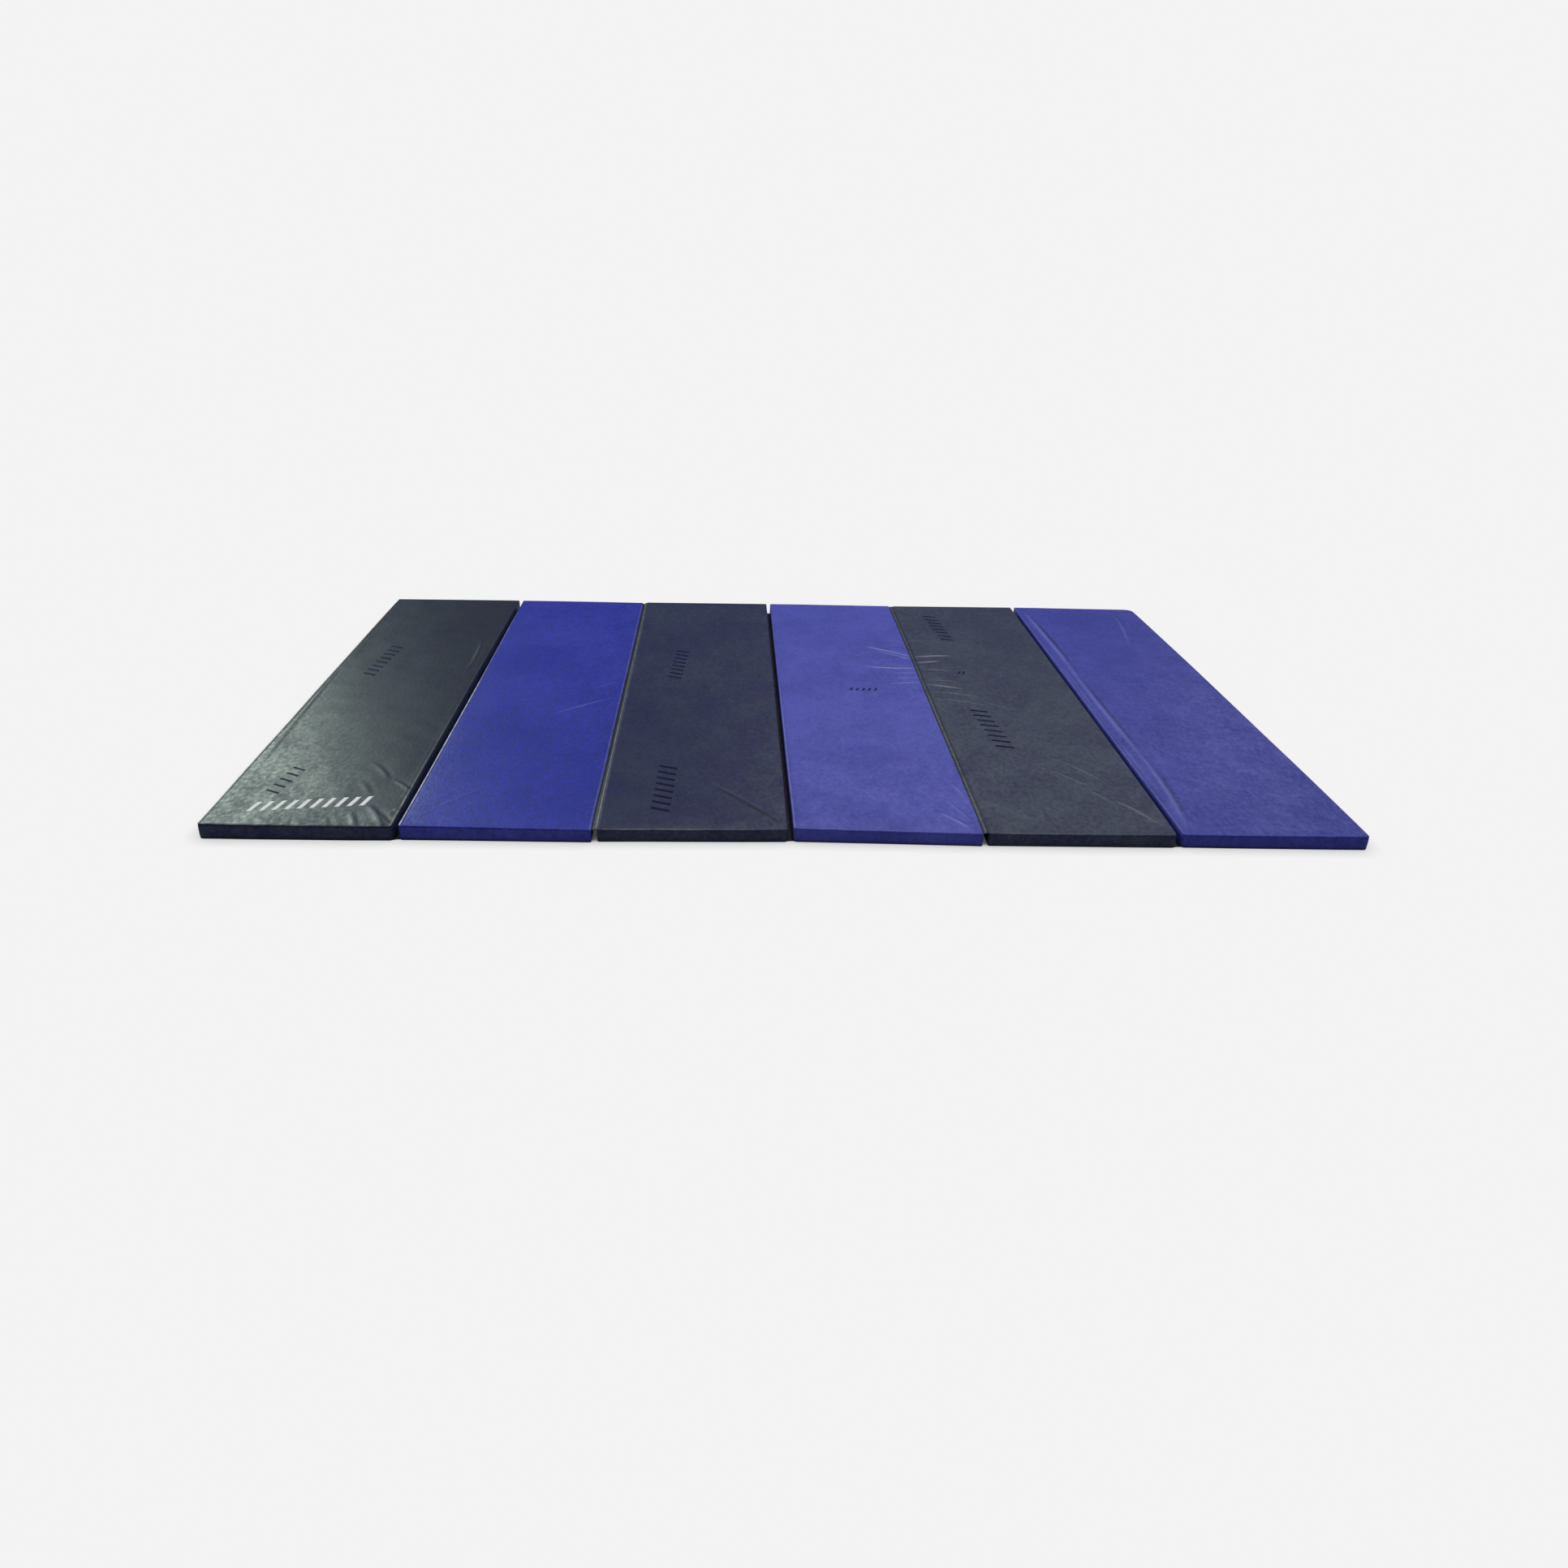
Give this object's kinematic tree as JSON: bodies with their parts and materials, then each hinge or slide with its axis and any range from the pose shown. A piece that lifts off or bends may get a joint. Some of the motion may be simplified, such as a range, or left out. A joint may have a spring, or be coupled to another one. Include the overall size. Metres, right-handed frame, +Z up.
{
  "type": "folding gymnastics mat",
  "caption": "Flat panel mat for tumbling: foam slabs in sewn vinyl covers, hinged edge to edge so that the mat folds up like an accordion.",
  "frame": {"origin": "centre of the mat's underside", "axes": "+X across the panels, from the first to the last; +Y from the plain ends to the zipped ends; +Z up, out of the top sheets"},
  "size_m": [2.998, 2, 0.04],
  "materials": {
    "charcoal_vinyl": "satin embossed coated fabric",
    "blue_vinyl": "satin embossed coated fabric",
    "charcoal_grip_vinyl": "matt coated fabric with small raised grip dots",
    "blue_grip_vinyl": "matt coated fabric with small raised grip dots",
    "hinge_vinyl": "satin coated fabric with stitching",
    "foam": "closed-cell foam",
    "zip_tape": "woven tape with a nylon coil",
    "zip_metal": "satin nickel plate"
  },
  "bodies": {
    "panel_1": {"foam_core_1": "foam", "top_sheet_1": "charcoal_vinyl", "side_band_1": "charcoal_vinyl", "base_sheet_1": "charcoal_grip_vinyl", "zip_tape_1": "zip_tape", "hinge_strip_1_2": "hinge_vinyl"},
    "slider_1": {"zip_slider_1": "zip_metal"},
    "panel_2": {"foam_core_2": "foam", "top_sheet_2": "blue_vinyl", "side_band_2": "blue_vinyl", "base_sheet_2": "blue_grip_vinyl", "zip_tape_2": "zip_tape", "hinge_strip_2_3": "hinge_vinyl"},
    "slider_2": {"zip_slider_2": "zip_metal"},
    "panel_3": {"foam_core_3": "foam", "top_sheet_3": "charcoal_vinyl", "side_band_3": "charcoal_vinyl", "base_sheet_3": "charcoal_grip_vinyl", "zip_tape_3": "zip_tape", "hinge_strip_3_4": "hinge_vinyl"},
    "slider_3": {"zip_slider_3": "zip_metal"},
    "panel_4": {"foam_core_4": "foam", "top_sheet_4": "blue_vinyl", "side_band_4": "blue_vinyl", "base_sheet_4": "blue_grip_vinyl", "zip_tape_4": "zip_tape", "hinge_strip_4_5": "hinge_vinyl"},
    "slider_4": {"zip_slider_4": "zip_metal"},
    "panel_5": {"foam_core_5": "foam", "top_sheet_5": "charcoal_vinyl", "side_band_5": "charcoal_vinyl", "base_sheet_5": "charcoal_grip_vinyl", "zip_tape_5": "zip_tape", "hinge_strip_5_6": "hinge_vinyl"},
    "slider_5": {"zip_slider_5": "zip_metal"},
    "panel_6": {"foam_core_6": "foam", "top_sheet_6": "blue_vinyl", "side_band_6": "blue_vinyl", "base_sheet_6": "blue_grip_vinyl", "zip_tape_6": "zip_tape"},
    "slider_6": {"zip_slider_6": "zip_metal"}
  },
  "joints": [
    {"name": "fold_1_2", "type": "hinge", "parent": "panel_2", "child": "panel_1", "pos_m": [-1.004, 0, -0.0015], "axis": [0, -1, 0], "range_deg": [0, 180], "deforming": ["hinge_strip_1_2"]},
    {"name": "fold_2_3", "type": "hinge", "parent": "panel_2", "child": "panel_3", "pos_m": [-0.502, 0, 0.0415], "axis": [0, -1, 0], "range_deg": [0, 180], "deforming": ["hinge_strip_2_3"]},
    {"name": "fold_3_4", "type": "hinge", "parent": "panel_3", "child": "panel_4", "pos_m": [0, 0, -0.0015], "axis": [0, 1, 0], "range_deg": [0, 180], "deforming": ["hinge_strip_3_4"]},
    {"name": "fold_4_5", "type": "hinge", "parent": "panel_4", "child": "panel_5", "pos_m": [0.502, 0, 0.0415], "axis": [0, -1, 0], "range_deg": [0, 180], "deforming": ["hinge_strip_4_5"]},
    {"name": "fold_5_6", "type": "hinge", "parent": "panel_5", "child": "panel_6", "pos_m": [1.004, 0, -0.0015], "axis": [0, 1, 0], "range_deg": [0, 180], "deforming": ["hinge_strip_5_6"]},
    {"name": "zip_1", "type": "slide", "parent": "panel_1", "child": "slider_1", "axis": [1, 0, 0], "range_m": [0, 0.39]},
    {"name": "zip_2", "type": "slide", "parent": "panel_2", "child": "slider_2", "axis": [1, 0, 0], "range_m": [0, 0.39]},
    {"name": "zip_3", "type": "slide", "parent": "panel_3", "child": "slider_3", "axis": [1, 0, 0], "range_m": [0, 0.39]},
    {"name": "zip_4", "type": "slide", "parent": "panel_4", "child": "slider_4", "axis": [1, 0, 0], "range_m": [0, 0.39]},
    {"name": "zip_5", "type": "slide", "parent": "panel_5", "child": "slider_5", "axis": [1, 0, 0], "range_m": [0, 0.39]},
    {"name": "zip_6", "type": "slide", "parent": "panel_6", "child": "slider_6", "axis": [1, 0, 0], "range_m": [0, 0.39]}
  ]
}
